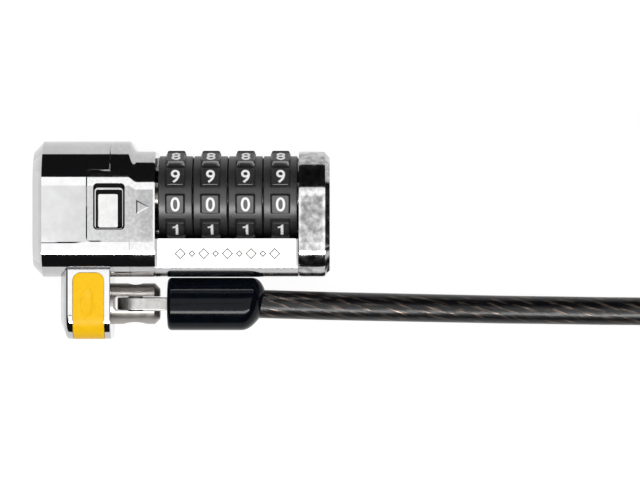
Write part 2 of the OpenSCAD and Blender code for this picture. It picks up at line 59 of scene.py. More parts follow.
# ---- places on the object, in millimetres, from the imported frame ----
shell_low, shell_high = [Vector(p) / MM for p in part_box("head_shell")]
cap_low, cap_high = [Vector(p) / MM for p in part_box("end_cap")]
lug_low, lug_high = [Vector(p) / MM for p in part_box("cable_lug")]
insert_low, insert_high = [Vector(p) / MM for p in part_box("lug_insert")]
plate_low, plate_high = [Vector(p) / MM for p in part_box("nameplate")]
boot_low = Vector(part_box("cable_boot")[0]) / MM
clevis_high = Vector(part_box("swivel_clevis")[1]) / MM
wheel_axis = Vector(joints["wheel_1_turn"]["pos_m"]) / MM
swivel_axis = Vector(joints["swivel_turn"]["pos_m"]) / MM
pivot = Vector(joints["cable_pivot"]["pos_m"]) / MM
lug_top = lug_high.z
wheel_centres = [joints[f"wheel_{i}_turn"]["pos_m"][0] / MM for i in (1, 2, 3, 4)]

DEPTH = shell_high.z
HEAD_TOP = shell_high.y
HEAD_LOW = shell_low.y
NECK_TOP = cap_high.y
X_LEFT = shell_low.x
X_RIGHT = cap_high.x
X_CAP = cap_low.x
# number wheels: the drum, its raised pads, the bay round them, and how far a shown digit stands off the front
DRUM_R = 7.2
PAD_R = 8.0
BAY_R = 8.4
INDEX_TURN = math.radians(10)
# main casting: the tab round the button (left, right, low, top), its seam with the shell above the tab, and
# the neck between the shoulder and the wheels
TAB = (-16.3, -8.95, -0.15, 12.1)
TAB_BACK = 3
X_SEAM = -12.3
SEAM = 0.16
X_SHOULDER = -9.2
SHOULDER_WIDE = 1.5
X_NECK = -4.5
# rounded edges along X: back, upper front, lower front, and upper front on the neck
BACK_R = 4.8
TOP_R = 8
LOW_R = 6.2
NECK_R = 6.9
# button: its middle, and how far its frame's outer and inner edges stand off it (left, right, low, top)
BUTTON = (-12.45, 5.85)
BUTTON_OUTER = (2.62, 2.48, 3.95, 3.35)
BUTTON_INNER = (2.27, 2.2, 3.85, 2.85)
DIGIT_HIGH = 2.5
CABLE_R = 2.5
# reach of a cutter past everything, and how far two solids lap where a cut or a joint must be clean
FAR = 30
LAP = 0.05


# ---- mesh helpers ----
def piece(name, verts, faces, body, slot, material, replaces=(), sharp=34):
    """A mesh object from points in millimetres, riding on a body."""
    mesh = bpy.data.meshes.new(name)
    mesh.from_pydata([Vector(v) * MM for v in verts], [], faces)
    obj = bpy.data.objects.new(name, mesh)
    bpy.context.scene.collection.objects.link(obj)
    smooth(obj, sharp)
    if body:
        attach(obj, body)
    if material:
        mesh.materials.append(material)
    for node in replaces:
        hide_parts(node)
    return obj


def smooth(obj, sharp=34):
    """Outward normals, smooth shading, and sharp edges past an angle."""
    bm = bmesh.new()
    bm.from_mesh(obj.data)
    bmesh.ops.recalc_face_normals(bm, faces=bm.faces)
    bm.to_mesh(obj.data)
    bm.free()
    obj.data.shade_smooth()
    obj.data.set_sharp_from_angle(angle=math.radians(sharp))


def loft(rings, closed=False):
    """Quads between rings of points, with flat ends unless the rings close on themselves."""
    n = len(rings[0])
    verts = [p for ring in rings for p in ring]
    faces = []
    last = len(rings) if closed else len(rings) - 1
    for i in range(last):
        a, b = i * n, (i + 1) % len(rings) * n
        faces += [[a + k, b + k, b + (k + 1) % n, a + (k + 1) % n] for k in range(n)]
    if not closed:
        faces.append(list(range(n)))
        faces.append([(len(rings) - 1) * n + k for k in reversed(range(n))])
    return verts, faces


def arc(y, z, r, start, end, steps):
    """Points on a circle from one angle to another, both included."""
    return [(y + r * cos(start + (end - start) * i / steps), z + r * sin(start + (end - start) * i / steps))
            for i in range(steps + 1)]


def corner(cy, cz, r, start, steps):
    """A quarter of a circle from an angle on."""
    return [(cy + r * cos(start + pi / 2 * i / steps), cz + r * sin(start + pi / 2 * i / steps))
            for i in range(steps + 1)]


def outline(y0, y1, z0, z1, radii, steps=14):
    """Closed two-way outline with one radius a corner: low back, top back, top front, low front."""
    lb, tb, tf, lf = radii
    return (corner(y0 + lb, z0 + lb, lb, pi, steps) + corner(y1 - tb, z0 + tb, tb, 1.5 * pi, steps)
            + corner(y1 - tf, z1 - tf, tf, 0, steps) + corner(y0 + lf, z1 - lf, lf, pi / 2, steps))


def at_x(x, flat):
    return [(x, y, z) for y, z in flat]


def at_z(z, flat):
    return [(x, y, z) for x, y in flat]


def lathe_x(profile, y, z, segments=96, closed=False):
    """Rings about an axis along X. profile holds (x, radius)."""
    rings = [[(x, y + r * cos(2 * pi * k / segments), z + r * sin(2 * pi * k / segments))
              for k in range(segments)] for x, r in profile]
    return loft(rings, closed)


def merged(*parts):
    verts, faces = [], []
    for v, f in parts:
        faces += [[i + len(verts) for i in face] for face in f]
        verts += v
    return verts, faces


def moved(part, matrix):
    verts, faces = part
    return [tuple(matrix @ Vector(v)) for v in verts], faces


def prism(flat, z0, z1):
    return loft([at_z(z0, flat), at_z(z1, flat)])


def rounded_box(x0, x1, y0, y1, z0, z1, r, steps=4):
    return prism(outline(x0, x1, y0, y1, (r, r, r, r), steps), z0, z1)


def block(x0, x1, y0, y1, z0, z1):
    return rounded_box(x0, x1, y0, y1, z0, z1, 0.02)


def turned_along_y(profile, place, segments):
    """A solid of revolution about an axis along Y through a place. profile holds (distance, radius)."""
    return moved(lathe_x(profile, 0, 0, segments),
                 Matrix.Translation(place) @ Matrix.Rotation(pi / 2, 4, "Z"))


def cut(obj, part, operation="DIFFERENCE"):
    """Applies one exact boolean with a throwaway solid."""
    tool = piece("tool", part[0], part[1], None, None, None)
    mod = obj.modifiers.new("cut", "BOOLEAN")
    mod.object = tool
    mod.operation = operation
    mod.solver = "EXACT"
    graph = bpy.context.evaluated_depsgraph_get()
    mesh = bpy.data.meshes.new_from_object(obj.evaluated_get(graph))
    obj.modifiers.clear()
    old = obj.data
    obj.data = mesh
    bpy.data.meshes.remove(old)
    bpy.data.objects.remove(tool)


def edge_break(obj, width, segments=2):
    """Small rounded edges that keep the broad faces flat."""
    bm = bmesh.new()
    bm.from_mesh(obj.data)
    bmesh.ops.remove_doubles(bm, verts=bm.verts, dist=1e-7)
    bmesh.ops.dissolve_degenerate(bm, edges=bm.edges, dist=1e-7)
    bm.to_mesh(obj.data)
    bm.free()
    smooth(obj, 60)
    mod = obj.modifiers.new("edges", "BEVEL")
    mod.width = width * MM
    mod.segments = segments
    mod.limit_method = "ANGLE"
    mod.angle_limit = math.radians(34)
    mod.harden_normals = True
    even = obj.modifiers.new("flat_faces", "WEIGHTED_NORMAL")
    even.keep_sharp = True
    even.weight = 80


# ---- materials ----
def new_material(name):
    mat = bpy.data.materials.new(name)
    mat.use_nodes = True
    return mat, mat.node_tree.nodes, mat.node_tree.links


def noise(nodes, links, scale, stretch=(1, 1, 1)):
    coords = nodes.new("ShaderNodeTexCoord")
    mapping = nodes.new("ShaderNodeMapping")
    mapping.inputs["Scale"].default_value = stretch
    tex = nodes.new("ShaderNodeTexNoise")
    tex.inputs["Scale"].default_value = scale
    tex.inputs["Detail"].default_value = 4
    links.new(coords.outputs["Object"], mapping.inputs["Vector"])
    links.new(mapping.outputs["Vector"], tex.inputs["Vector"])
    return tex.outputs["Fac"]


def spread(nodes, links, fac, low, high, from_low=0.3, from_high=0.7):
    """Maps a noise to a range of values."""
    node = nodes.new("ShaderNodeMapRange")
    node.inputs["From Min"].default_value = from_low
    node.inputs["From Max"].default_value = from_high
    node.inputs["To Min"].default_value = low
    node.inputs["To Max"].default_value = high
    links.new(fac, node.inputs["Value"])
    return node.outputs["Result"]


def two_tone(nodes, links, fac, dark, light, low=0.35, high=0.65):
    ramp = nodes.new("ShaderNodeValToRGB")
    ramp.color_ramp.elements[0].position = low
    ramp.color_ramp.elements[1].position = high
    ramp.color_ramp.elements[0].color = (*dark, 1)
    ramp.color_ramp.elements[1].color = (*light, 1)
    links.new(fac, ramp.inputs["Fac"])
    return ramp.outputs["Color"]


def bump(nodes, links, fac, strength, distance, shader):
    node = nodes.new("ShaderNodeBump")
    node.inputs["Strength"].default_value = strength
    node.inputs["Distance"].default_value = distance * MM
    links.new(fac, node.inputs["Height"])
    links.new(node.outputs["Normal"], shader.inputs["Normal"])


def surface(name, dark, light, metallic, rough, grain, stretch=(1, 1, 1), relief=0.05, relief_mm=0.02,
            specular=0.5):
    """Principled surface whose colour and roughness vary with a grain, with a fine relief."""
    mat, nodes, links = new_material(name)
    shader = nodes["Principled BSDF"]
    shader.inputs["Metallic"].default_value = metallic
    shader.inputs["Specular IOR Level"].default_value = specular
    fac = noise(nodes, links, grain, stretch)
    links.new(two_tone(nodes, links, fac, dark, light), shader.inputs["Base Color"])
    links.new(spread(nodes, links, fac, *rough), shader.inputs["Roughness"])
    bump(nodes, links, fac, relief, relief_mm, shader)
    return mat


CHROME = surface("chrome", (0.49, 0.49, 0.495), (0.53, 0.53, 0.535), 1.0, (0.02, 0.06), 600, relief=0.02)
FACE_CHROME = surface("button_chrome", (0.66, 0.66, 0.655), (0.72, 0.72, 0.715), 1.0, (0.03, 0.08), 900,
                      relief=0.02)
CAST_CHROME = surface("cast_chrome", (0.46, 0.46, 0.465), (0.52, 0.52, 0.525), 1.0, (0.05, 0.10), 1600,
                      relief=0.014, relief_mm=0.02)
CAP_CHROME = surface("cap_chrome", (0.27, 0.27, 0.27), (0.55, 0.55, 0.555), 1.0, (0.06, 0.14), 900,
                     relief=0.07, relief_mm=0.03)
PLATE = surface("satin_plate", (0.90, 0.90, 0.90), (0.95, 0.95, 0.95), 1.0, (0.22, 0.3), 900,
                stretch=(1, 12, 1), relief=0.04)
PLATE_INK = surface("plate_ink", (0.07, 0.055, 0.045), (0.12, 0.10, 0.08), 0.0, (0.5, 0.6), 1500)
# near-black: painted shade on the button's base, so the well and the gaps round its frame read as shadow;
# also the black card beside the lamp panel
PAINTED_SHADE_AND_CARD_BLACK = surface("painted_shade_and_card_black", (0.004, 0.004, 0.004), (0.008, 0.008, 0.008), 0.0, (0.6, 0.8), 1500, specular=0.1)
WHEEL = surface("wheel_black", (0.018, 0.018, 0.019), (0.034, 0.034, 0.035), 0.0, (0.34, 0.44), 1800,
                stretch=(6, 1, 1), relief=0.10, relief_mm=0.03)
DIGIT = surface("digit_white", (0.88, 0.88, 0.87), (0.96, 0.96, 0.95), 0.0, (0.4, 0.55), 1500)
STEEL = surface("turned_steel", (0.33, 0.305, 0.285), (0.39, 0.365, 0.345), 1.0, (0.33, 0.39), 700,
                relief=0.02, relief_mm=0.01)
EYE_STEEL = surface("eye_steel", (0.30, 0.295, 0.285), (0.37, 0.365, 0.355), 1.0, (0.34, 0.4), 1200,
                    relief=0.03)
BRASS = surface("ring_brass", (0.55, 0.40, 0.16), (0.72, 0.55, 0.25), 1.0, (0.2, 0.32), 900,
                stretch=(8, 1, 1))
SPRING = surface("spring_steel", (0.5, 0.5, 0.5), (0.68, 0.68, 0.68), 1.0, (0.15, 0.28), 1500)
YELLOW = surface("insert_yellow", (0.96, 0.55, 0.006), (1.0, 0.58, 0.008), 0.0, (0.3, 0.4), 1200,
                 relief=0.03, specular=0.08)
BOOT = surface("boot_black", (0.0014, 0.0024, 0.0042), (0.0026, 0.004, 0.0066), 0.0, (0.10, 0.15), 700,
               relief=0.02, specular=0.10)
WOVEN = surface("tie_black", (0.012, 0.012, 0.012), (0.035, 0.035, 0.035), 0.0, (0.7, 0.9), 5000, relief=0.6,
                relief_mm=0.1)


def cable_material():
    """Smoky sheath with twisted steel strands under it. The tube's own lengthwise and round
    coordinates, in millimetres and turns, drive the strands."""
    mat, nodes, links = new_material("cable_sheath")
    shader = nodes["Principled BSDF"]
    shader.inputs["Specular IOR Level"].default_value = 0.3
    uv = nodes.new("ShaderNodeUVMap")
    uv.uv_map = "strands"
    split = nodes.new("ShaderNodeSeparateXYZ")
    links.new(uv.outputs["UV"], split.inputs["Vector"])

    def maths(kind, a, b=None):
        node = nodes.new("ShaderNodeMath")
        node.operation = kind
        for i, value in enumerate((a, b)):
            if value is None:
                continue
            if isinstance(value, (int, float)):
                node.inputs[i].default_value = value
            else:
                links.new(value, node.inputs[i])
        return node.outputs["Value"]

    along, around = split.outputs["X"], split.outputs["Y"]
    bundles, turn_long = 12, 54
    phase = maths("ADD", maths("MULTIPLY", along, bundles / turn_long), maths("MULTIPLY", around, -bundles))
    wave = maths("SINE", maths("MULTIPLY", phase, 2 * pi))
    # broken single wires, long along the bundles and thin across them
    across = maths("ADD", maths("MULTIPLY", along, 0.3), maths("MULTIPLY", around, -2 * pi * CABLE_R))
    grid = nodes.new("ShaderNodeCombineXYZ")
    links.new(maths("MULTIPLY", along, 0.22), grid.inputs["X"])
    links.new(maths("MULTIPLY", across, 1.5), grid.inputs["Y"])
    wires = nodes.new("ShaderNodeTexNoise")
    wires.inputs["Scale"].default_value = 1.6
    wires.inputs["Detail"].default_value = 4
    links.new(grid.outputs["Vector"], wires.inputs["Vector"])
    glint = maths("ADD", maths("MULTIPLY", wave, 0.13), maths("MULTIPLY", wires.outputs["Fac"], 1.15))
    color = two_tone(nodes, links, glint, (0.002, 0.002, 0.003), (0.21, 0.16, 0.13), 0.66, 0.94)
    links.new(color, shader.inputs["Base Color"])
    links.new(spread(nodes, links, glint, 0.32, 0.24, 0.5, 0.9), shader.inputs["Roughness"])
    links.new(spread(nodes, links, glint, 0.0, 0.7, 0.6, 0.85), shader.inputs["Metallic"])
    bump(nodes, links, glint, 0.3, 0.1, shader)
    return mat


SHEATH = cable_material()


# ---- camera ----
def add_camera():
    camera = bpy.data.objects.new("camera", bpy.data.cameras.new("camera"))
    camera.data.lens = 200
    camera.data.sensor_width = 36
    camera.location = Vector((24.3, 0, 641)) * MM
    bpy.context.scene.collection.objects.link(camera)
    bpy.context.scene.camera = camera


add_camera()

# ---- cable ----
ROUTE = [(11.8, -11.25, 12.4), (17, -11.4, 12.4), (22, -11.55, 12.2), (27, -11.7, 11.7),
         (33, -11.85, 10.7), (39, -12, 9.3), (45, -12.15, 7.8), (51, -12.3, 6.2), (57, -12.45, 4.7),
         (63, -12.55, 3.5), (69, -12.65, 2.8), (75, -12.75, 2.5), (81, -12.8, 2.5), (88, -12.9, 2.5),
         (95, -12.9, 2.5), (103, -12.9, 2.5), (112, -12.9, 2.5)]
COIL = Vector((119.5, 21.1, 0))
# radius and height of each turn of the coil
TURNS = [(34, 2.5), (29, 2.5), (24, 2.5), (24, 7.5), (29, 7.5), (34, 7.5), (29, 12.5), (34, 12.5)]
# where on the bottom turn the coil starts, and how far round it goes
COIL_START = -pi / 2
COIL_ANGLE = 2 * pi * 7 + math.radians(250)
# from the coil's top turn over the bundle to the ferrule, from the coil's centre
TAIL = [(-33.26, 7.07, 12.8), (-34, 2, 13.3), (-33.8, -2.8, 14.2), (-32.4, -7.4, 15.6),
        (-29.5, -11.7, 17), (-25.3, -15.2, 17.9), (-20.2, -17.1, 18.15)]
FERRULE = Vector((-16.5, -14.9, 18.15))
FERRULE_LEN = 14
FERRULE_GAP = 2.6
LOOP_SIDE = [(0, FERRULE_GAP), (5.7, 3.4), (10.9, 5.4), (16.6, 8.6), (22.4, 11.9)]
LOOP_R = 17.5
LOOP_FAR = 36.9
LOOP_DROP = 0.6


def ease(t):
    t = min(max(t, 0), 1)
    return t * t * (3 - 2 * t)


def coil_point(angle):
    turns = angle / (2 * pi)
    i = int(turns)
    step = ease((turns - i - 0.78) / 0.22) if i < len(TURNS) - 1 else 0
    r0, z0 = TURNS[i]
    r1, z1 = TURNS[min(i + 1, len(TURNS) - 1)]
    r, z = r0 + (r1 - r0) * step, z0 + (z1 - z0) * step
    return COIL + Vector((r * cos(COIL_START + angle), r * sin(COIL_START + angle), z))


def loop_points():
    """Out along one side of the loop, round its far bend, and back into the ferrule."""
    out = [(-FERRULE_LEN, -FERRULE_GAP, 0)] + [(u, -v, 0) for u, v in LOOP_SIDE]
    out += [(LOOP_FAR + LOOP_R * cos(math.radians(a)), LOOP_R * sin(math.radians(a)), -LOOP_DROP)
            for a in range(-120, 121, 20)]
    out += [(u, v, 0) for u, v in reversed(LOOP_SIDE)] + [(0.5 - FERRULE_LEN, FERRULE_GAP, 0)]
    return [COIL + FERRULE + Vector((FERRULE_LEN, 0, 0)) + Vector(p) for p in out]


def spline(points, step):
    """Points along a Catmull-Rom curve, about one step apart."""
    pts = [Vector(p) for p in points]
    pts = [2 * pts[0] - pts[1]] + pts + [2 * pts[-1] - pts[-2]]
    out = []
    for a, b, c, d in zip(pts, pts[1:], pts[2:], pts[3:]):
        n = max(1, round((c - b).length / step))
        for i in range(n):
            t = i / n
            out.append(0.5 * (2 * b + (c - a) * t + (2 * a - 5 * b + 4 * c - d) * t * t
                              + (3 * b - a - 3 * c + d) * t ** 3))
    return out + [pts[-2]]


def tube(path, radius, sides):
    """Rings along a path, with each ring's distance along it."""
    rings, along, up = [], [0.0], Vector((0, 0, 1))
    for i, p in enumerate(path):
        ahead = (path[min(i + 1, len(path) - 1)] - path[max(i - 1, 0)]).normalized()
        side = up.cross(ahead).normalized()
        rise = ahead.cross(side)
        rings.append([p + radius * (cos(2 * pi * k / sides) * side + sin(2 * pi * k / sides) * rise)
                      for k in range(sides)])
        if i:
            along.append(along[-1] + (p - path[i - 1]).length)
    return rings, along


def add_cable():
    step = math.radians(15)
    coil = [coil_point(step * i) for i in range(1, int(COIL_ANGLE / step) + 1)]
    tail = [COIL + Vector(p) for p in TAIL]
    path = spline([Vector(p) for p in ROUTE] + coil + tail + loop_points(), 1.6)
    sides = 20
    rings, along = tube(path, CABLE_R, sides)
    verts, faces = loft(rings)
    cable = piece("cable", verts, faces, "cable_end", "cable_sheath", SHEATH,
                  ["cable_run", "cable_coil", "cable_loop"], sharp=60)
    layer = cable.data.uv_layers.new(name="strands")
    for poly in cable.data.polygons:
        columns = [cable.data.loops[i].vertex_index % sides for i in poly.loop_indices]
        wraps = len(columns) == 4 and max(columns) - min(columns) > 1
        for i in poly.loop_indices:
            v = cable.data.loops[i].vertex_index
            col = v % sides
            turn = (col + sides if wraps and col == 0 else col) / sides
            layer.data[i].uv = (along[v // sides], turn)
    return cable, path


cable, cable_path = add_cable()


def add_tie():
    """Woven strap round the coiled bundle, with its overlap on top."""
    half, side, wide, t = 7.6, 15, 12, 0.8
    rings = []
    across = [-wide / 2 + wide * i / 8 for i in range(9)]
    for w in across:
        outer = outline(-half - t, half + t, 0, side + t, (1.6,) * 4, 5)
        rings.append([(u, w, v) for u, v in outer])
    for w in reversed(across):
        inner = outline(-half, half, 0.6, side, (0.9,) * 4, 5)
        rings.append([(u, w, v) for u, v in inner])
    strap = loft(rings, closed=True)
    tongue = rounded_box(-5, 6.4, -wide / 2 + 0.3, wide / 2 - 0.3, side + t - 0.1, side + t + 0.6, 1.2)
    place = (Matrix.Translation(COIL) @ Matrix.Rotation(math.radians(135), 4, "Z")
             @ Matrix.Translation((29, 0, 0)))
    parts = merged(moved(strap, place), moved(tongue, place))
    return piece("coil_strap", *parts, "cable_end", "tie_black", WOVEN, ["coil_tie"])


def add_ferrule():
    """Oval crimped sleeve with two press marks."""
    rings = []
    for u, squeeze in [(0, 0.25), (0.35, 0), (3.2, 0), (3.8, 0.3), (5.4, 0.3), (6, 0), (8, 0), (8.6, 0.3),
                       (10.2, 0.3), (10.8, 0), (13.65, 0), (14, 0.25)]:
        r = 3.1 - squeeze
        flat = outline(-FERRULE_GAP - r, FERRULE_GAP + r, -r, r, (r * 0.98,) * 4, 8)
        rings.append([(u, a, b) for a, b in flat])
    part = moved(loft(rings), Matrix.Translation(COIL + FERRULE))
    return piece("ferrule", *part, "cable_end", "steel", STEEL, ["loop_ferrule"], sharp=28)


strap = add_tie()
ferrule = add_ferrule()


# ---- head castings ----
def head_flat(inset=0, depth=0, back=0):
    return outline(HEAD_LOW + inset, HEAD_TOP - inset, back, DEPTH - depth,
                   (BACK_R - back, BACK_R - back, TOP_R - inset, LOW_R - inset))


def neck_flat(inset=0.0, top_r=TOP_R):
    return outline(HEAD_LOW + inset, NECK_TOP - inset, inset, DEPTH - inset,
                   (BACK_R - inset, BACK_R - inset, top_r - inset, LOW_R - inset))


def shoulder_flat(share):
    """Section between the head (0) and the lower neck (1)."""
    return outline(HEAD_LOW, HEAD_TOP + (NECK_TOP - HEAD_TOP) * ease(share), 0, DEPTH,
                   (BACK_R, BACK_R, TOP_R + (NECK_R - TOP_R) * ease(share), LOW_R))


def tab_outline(gap):
    x0, x1, y0, y1 = TAB
    return outline(x0 - gap, 0, y0 - gap, y1 + gap, (0.9, 0.01, 0.01, 0.9), 8)


def add_head_shell():
    bevel, socket_r = 1.75, 5.16
    rings = [at_x(X_LEFT, head_flat(bevel, 2.9, 2)), at_x(X_LEFT + bevel, head_flat()),
             at_x(TAB[1], head_flat())]
    shell = piece("shell_casting", *loft(rings), "housing", "chrome", CHROME, ["head_shell"])
    cut(shell, prism(tab_outline(SEAM), TAB_BACK - LAP, FAR))
    cut(shell, block(X_SEAM - SEAM, 10, TAB[3] - 1, FAR, -5, FAR))
    cut(shell, lathe_x([(X_LEFT - 1, socket_r), (X_LEFT + 8, socket_r)], wheel_axis.y, wheel_axis.z, 64))
    edge_break(shell, 0.14)
    return shell


def bay_flat():
    """Section of the casting in the wheel bay: keel with the nameplate's seat, back wall, upper lip."""
    y, z = wheel_axis.y, wheel_axis.z
    seat, lip, wall_top = plate_low.z, 6.5, 14.6
    keel_y, corner_y, corner_z = plate_high.y, HEAD_LOW + LOW_R, DEPTH - LOW_R
    front = arc(corner_y, corner_z, LOW_R, pi - math.asin((seat - corner_z) / LOW_R), pi, 10)
    lip_angle = math.asin((lip - z) / BAY_R)
    keel_angle = -pi - math.acos((y - keel_y) / BAY_R)
    return ([(keel_y, seat)] + front + corner(HEAD_LOW + BACK_R, BACK_R, BACK_R, pi, 10)
            + corner(wall_top - BACK_R, BACK_R, BACK_R, 1.5 * pi, 10) + [(wall_top, lip)]
            + arc(y, z, BAY_R, lip_angle, keel_angle, 60))


def add_main_casting():
    rings = [at_x(TAB[0] + LAP, head_flat())]
    rings += [at_x(X_SHOULDER + SHOULDER_WIDE * i / 10, shoulder_flat(i / 10)) for i in range(11)]
    rings += [at_x(X_NECK - 0.45, neck_flat(0, NECK_R)), at_x(X_NECK, neck_flat(0.1, NECK_R))]
    frame_part = piece("main_casting", *loft(rings), "housing", "chrome", CAST_CHROME, ["wheel_frame"])
    # what belongs to the shell: below the tab, above it left of the seam, and behind it
    cut(frame_part, block(-FAR, TAB[1] + LAP, -FAR, TAB[2] + LAP, -5, FAR))
    cut(frame_part, block(-FAR, X_SEAM + LAP, TAB[3] - LAP, FAR, -5, FAR))
    cut(frame_part, block(-FAR, TAB[1] + LAP, -FAR, TAB[3] - LAP, -5, TAB_BACK + LAP))
    # button well, open into the mechanism's cavity
    bx, by = BUTTON
    cut(frame_part, rounded_box(bx - 2.75, bx + 2.75, by - 4.05, by + 4.05, 15, FAR, 0.7, 8))
    cut(frame_part, block(-FAR, -8, 1.3, 10.9, -2, 20.45))
    cut(frame_part, lathe_x([(-9, 2.6), (-3, 2.6)], wheel_axis.y, wheel_axis.z, 48))
    edge_break(frame_part, 0.14)
    piece("index_mark", *triangle(-7.7, 2.3, 5.75, 1.25), "housing", "chrome", CAST_CHROME, sharp=5)
    bay = piece("bay_casting", *loft([at_x(X_NECK - 0.1, bay_flat()), at_x(X_CAP - LAP, bay_flat())]),
                "housing", "chrome", CHROME)
    edge_break(bay, 0.1)


def triangle(x, length, y, half):
    """A low raised triangle with sloping sides that points along X to the code line."""
    def flat(inset):
        side = half - 1.6 * inset
        return [(x + inset, y - side), (x + length - 2 * inset, y), (x + inset, y + side)]

    return loft([at_z(DEPTH - LAP, flat(0)), at_z(DEPTH + 0.02, flat(0)), at_z(DEPTH + 0.07, flat(0.22))])


def add_end_cap():
    rings = [at_x(X_CAP, neck_flat(0.1)), at_x(X_CAP + 0.45, neck_flat()), at_x(X_RIGHT - 1.3, neck_flat()),
             at_x(X_RIGHT - 0.8, neck_flat(0.1)), at_x(X_RIGHT, neck_flat(1.1))]
    cap = piece("cap_casting", *loft(rings), "housing", "chrome", CAP_CHROME, ["end_cap"])
    reset_r, screw_r = 3.25, 1.55
    cut(cap, lathe_x([(23, reset_r), (FAR, reset_r)], wheel_axis.y, wheel_axis.z, 64))
    for z in (5.4, 17.6):
        cut(cap, lathe_x([(24.3, screw_r), (FAR, screw_r)], -4.1, z, 32))
    edge_break(cap, 0.1)


def add_nameplate():
    """Satin plate with a row of plain lozenges outlined in ink."""
    x0, y0, z0 = plate_low
    x1, y1, z1 = plate_high
    plate = piece("name_plate", *rounded_box(x0, x1, y0, y1, z0, z1, 0.25), "housing", "satin_plate", PLATE,
                  ["nameplate"])
    edge_break(plate, 0.06)
    marks, line, count = [], 0.27, 9
    mid = (y0 + y1) / 2 - 0.15
    for i in range(count):
        x, size = -0.1 + 16.5 * i / (count - 1), 1.0 if i % 2 == 0 else 0.62
        rings = [at_z(z1 + h, [(x - r, mid), (x, mid - r), (x + r, mid), (x, mid + r)])
                 for h, r in ((-0.02, size), (0.015, size), (0.015, size - line), (-0.02, size - line))]
        marks.append(loft(rings, closed=True))
    piece("plate_marks", *merged(*marks), "housing", "satin_plate", PLATE_INK)


def add_button():
    """A framed button: a base painted near-black as the shade in its well, chrome frame, and a raised face
    with a flat bevel.
    """
    bx, by = BUTTON
    flange = outline(bx - 3, bx + 3, by - 4.2, by + 4.2, (0.5,) * 4, 6)
    base = loft([at_z(19.63, flange), at_z(20.3, flange)])
    # the base is painted near-black to stand for the shade in the well and in the gaps round the frame
    piece("button_base", *base, "button", "chrome", PAINTED_SHADE_AND_CARD_BLACK, ["push_button"])

    def edge(z, sides, r, grow=0):
        left, right, low, top = sides
        flat = outline(bx - left - grow, bx + right + grow, by - low - grow, by + top + grow, (r,) * 4, 6)
        return at_z(z, flat)

    rings = [edge(20.2, BUTTON_OUTER, 0.6), edge(21.05, BUTTON_OUTER, 0.6),
             edge(21.2, BUTTON_OUTER, 0.6, -0.08), edge(21.2, BUTTON_INNER, 0.35, 0.08),
             edge(21.05, BUTTON_INNER, 0.35), edge(20.2, BUTTON_INNER, 0.35)]
    ring = piece("button_frame", *loft(rings, closed=True), "button", "chrome", CHROME)
    edge_break(ring, 0.05)
    face = [at_z(z, outline(bx - 1.93 + i, bx + 1.62 - j, by - 3.73 + j, by + 2.23 - i, (0.22,) * 4, 6))
            for z, i, j in ((20.2, -0.02, -0.1), (21.68, 0, 0), (21.78, 0.1, 0.1))]
    piece("button_face", *loft(face), "button", "chrome", FACE_CHROME, sharp=12)


add_head_shell()
add_main_casting()
add_end_cap()
add_nameplate()
add_button()


# ---- number wheels ----
def digit_mesh(text, height):
    """Flat outline of one digit, centred, from the built-in typeface."""
    curve = bpy.data.curves.new("digit", "FONT")
    curve.body = text
    curve.align_x = "CENTER"
    curve.size = height / 0.72
    curve.extrude = 0.02
    curve.bevel_depth = 0.045
    curve.bevel_resolution = 1
    holder = bpy.data.objects.new("digit", curve)
    bpy.context.scene.collection.objects.link(holder)
    graph = bpy.context.evaluated_depsgraph_get()
    mesh = bpy.data.meshes.new_from_object(holder.evaluated_get(graph))
    verts = [v.co.copy() for v in mesh.vertices]
    faces = [list(p.vertices) for p in mesh.polygons]
    bpy.data.objects.remove(holder)
    bpy.data.meshes.remove(mesh)
    low = min(v.y for v in verts)
    high = max(v.y for v in verts)
    left = min(v.x for v in verts)
    right = max(v.x for v in verts)
    middle = Vector(((left + right) / 2, (low + high) / 2, 0))
    return [tuple(v - middle) for v in verts], faces


def pad():
    """One raised pad with sloping sides, about the front of the wheel's axis."""
    rings = [at_z(z, outline(-x, x, -y, y, (0.28,) * 4, 4)) for z, x, y in
             ((DRUM_R - 0.5, 1.76, 1.74), (DRUM_R + 0.1, 1.74, 1.74), (PAD_R - 0.08, 1.5, 1.6),
              (PAD_R, 1.42, 1.52))]
    return loft(rings)


def digit_one(height):
    """The figure 1, a stem with a curved flag."""
    top, stem = height / 2, 0.46
    flat = [(stem, -top), (stem, top), (0.16, top), (0.04, 0.76 * top), (-0.2, 0.6 * top),
            (-0.52, 0.56 * top), (-0.52, 0.34 * top), (0.0, 0.34 * top), (0.0, -top)]
    return prism(flat, -0.04, 0.06)


DIGITS = [digit_one(DIGIT_HIGH) if d == 1 else digit_mesh(str(d), DIGIT_HIGH) for d in range(10)]


def add_wheel(i, x):
    half = 2.98
    profile = [(-half, 5.25), (-half, DRUM_R - 0.2), (-half + 0.06, DRUM_R - 0.06), (-half + 0.16, DRUM_R),
               (half - 0.16, DRUM_R), (half - 0.06, DRUM_R - 0.06), (half, DRUM_R - 0.2), (half, 5.25)]
    centre = Matrix.Translation((x, wheel_axis.y, wheel_axis.z))
    parts = [moved(lathe_x(profile, 0, 0, 120, closed=True), centre)]
    marks = []
    for d in range(10):
        turn = centre @ Matrix.Rotation(2 * pi * d / 10 + INDEX_TURN, 4, "X")
        parts.append(moved(pad(), turn))
        marks.append(moved(DIGITS[d], turn @ Matrix.Translation((0.05, 0, PAD_R))))
    body = f"wheel_{i}"
    piece(f"wheel_{i}_drum", *merged(*parts), body, "wheel_black", WHEEL, [f"number_wheel_{i}"], sharp=24)
    piece(f"wheel_{i}_digits", *merged(*marks), body, "wheel_black", DIGIT)


for number, centre_x in enumerate(wheel_centres, 1):
    add_wheel(number, centre_x)


# ---- lug, insert and clevis ----
def lug_flat(top, inset=0.0):
    return outline(lug_low.y + inset, top, lug_low.z + inset, lug_top - inset,
                   (4.3 - inset, 0.3, 0.12, 4.3 - inset))


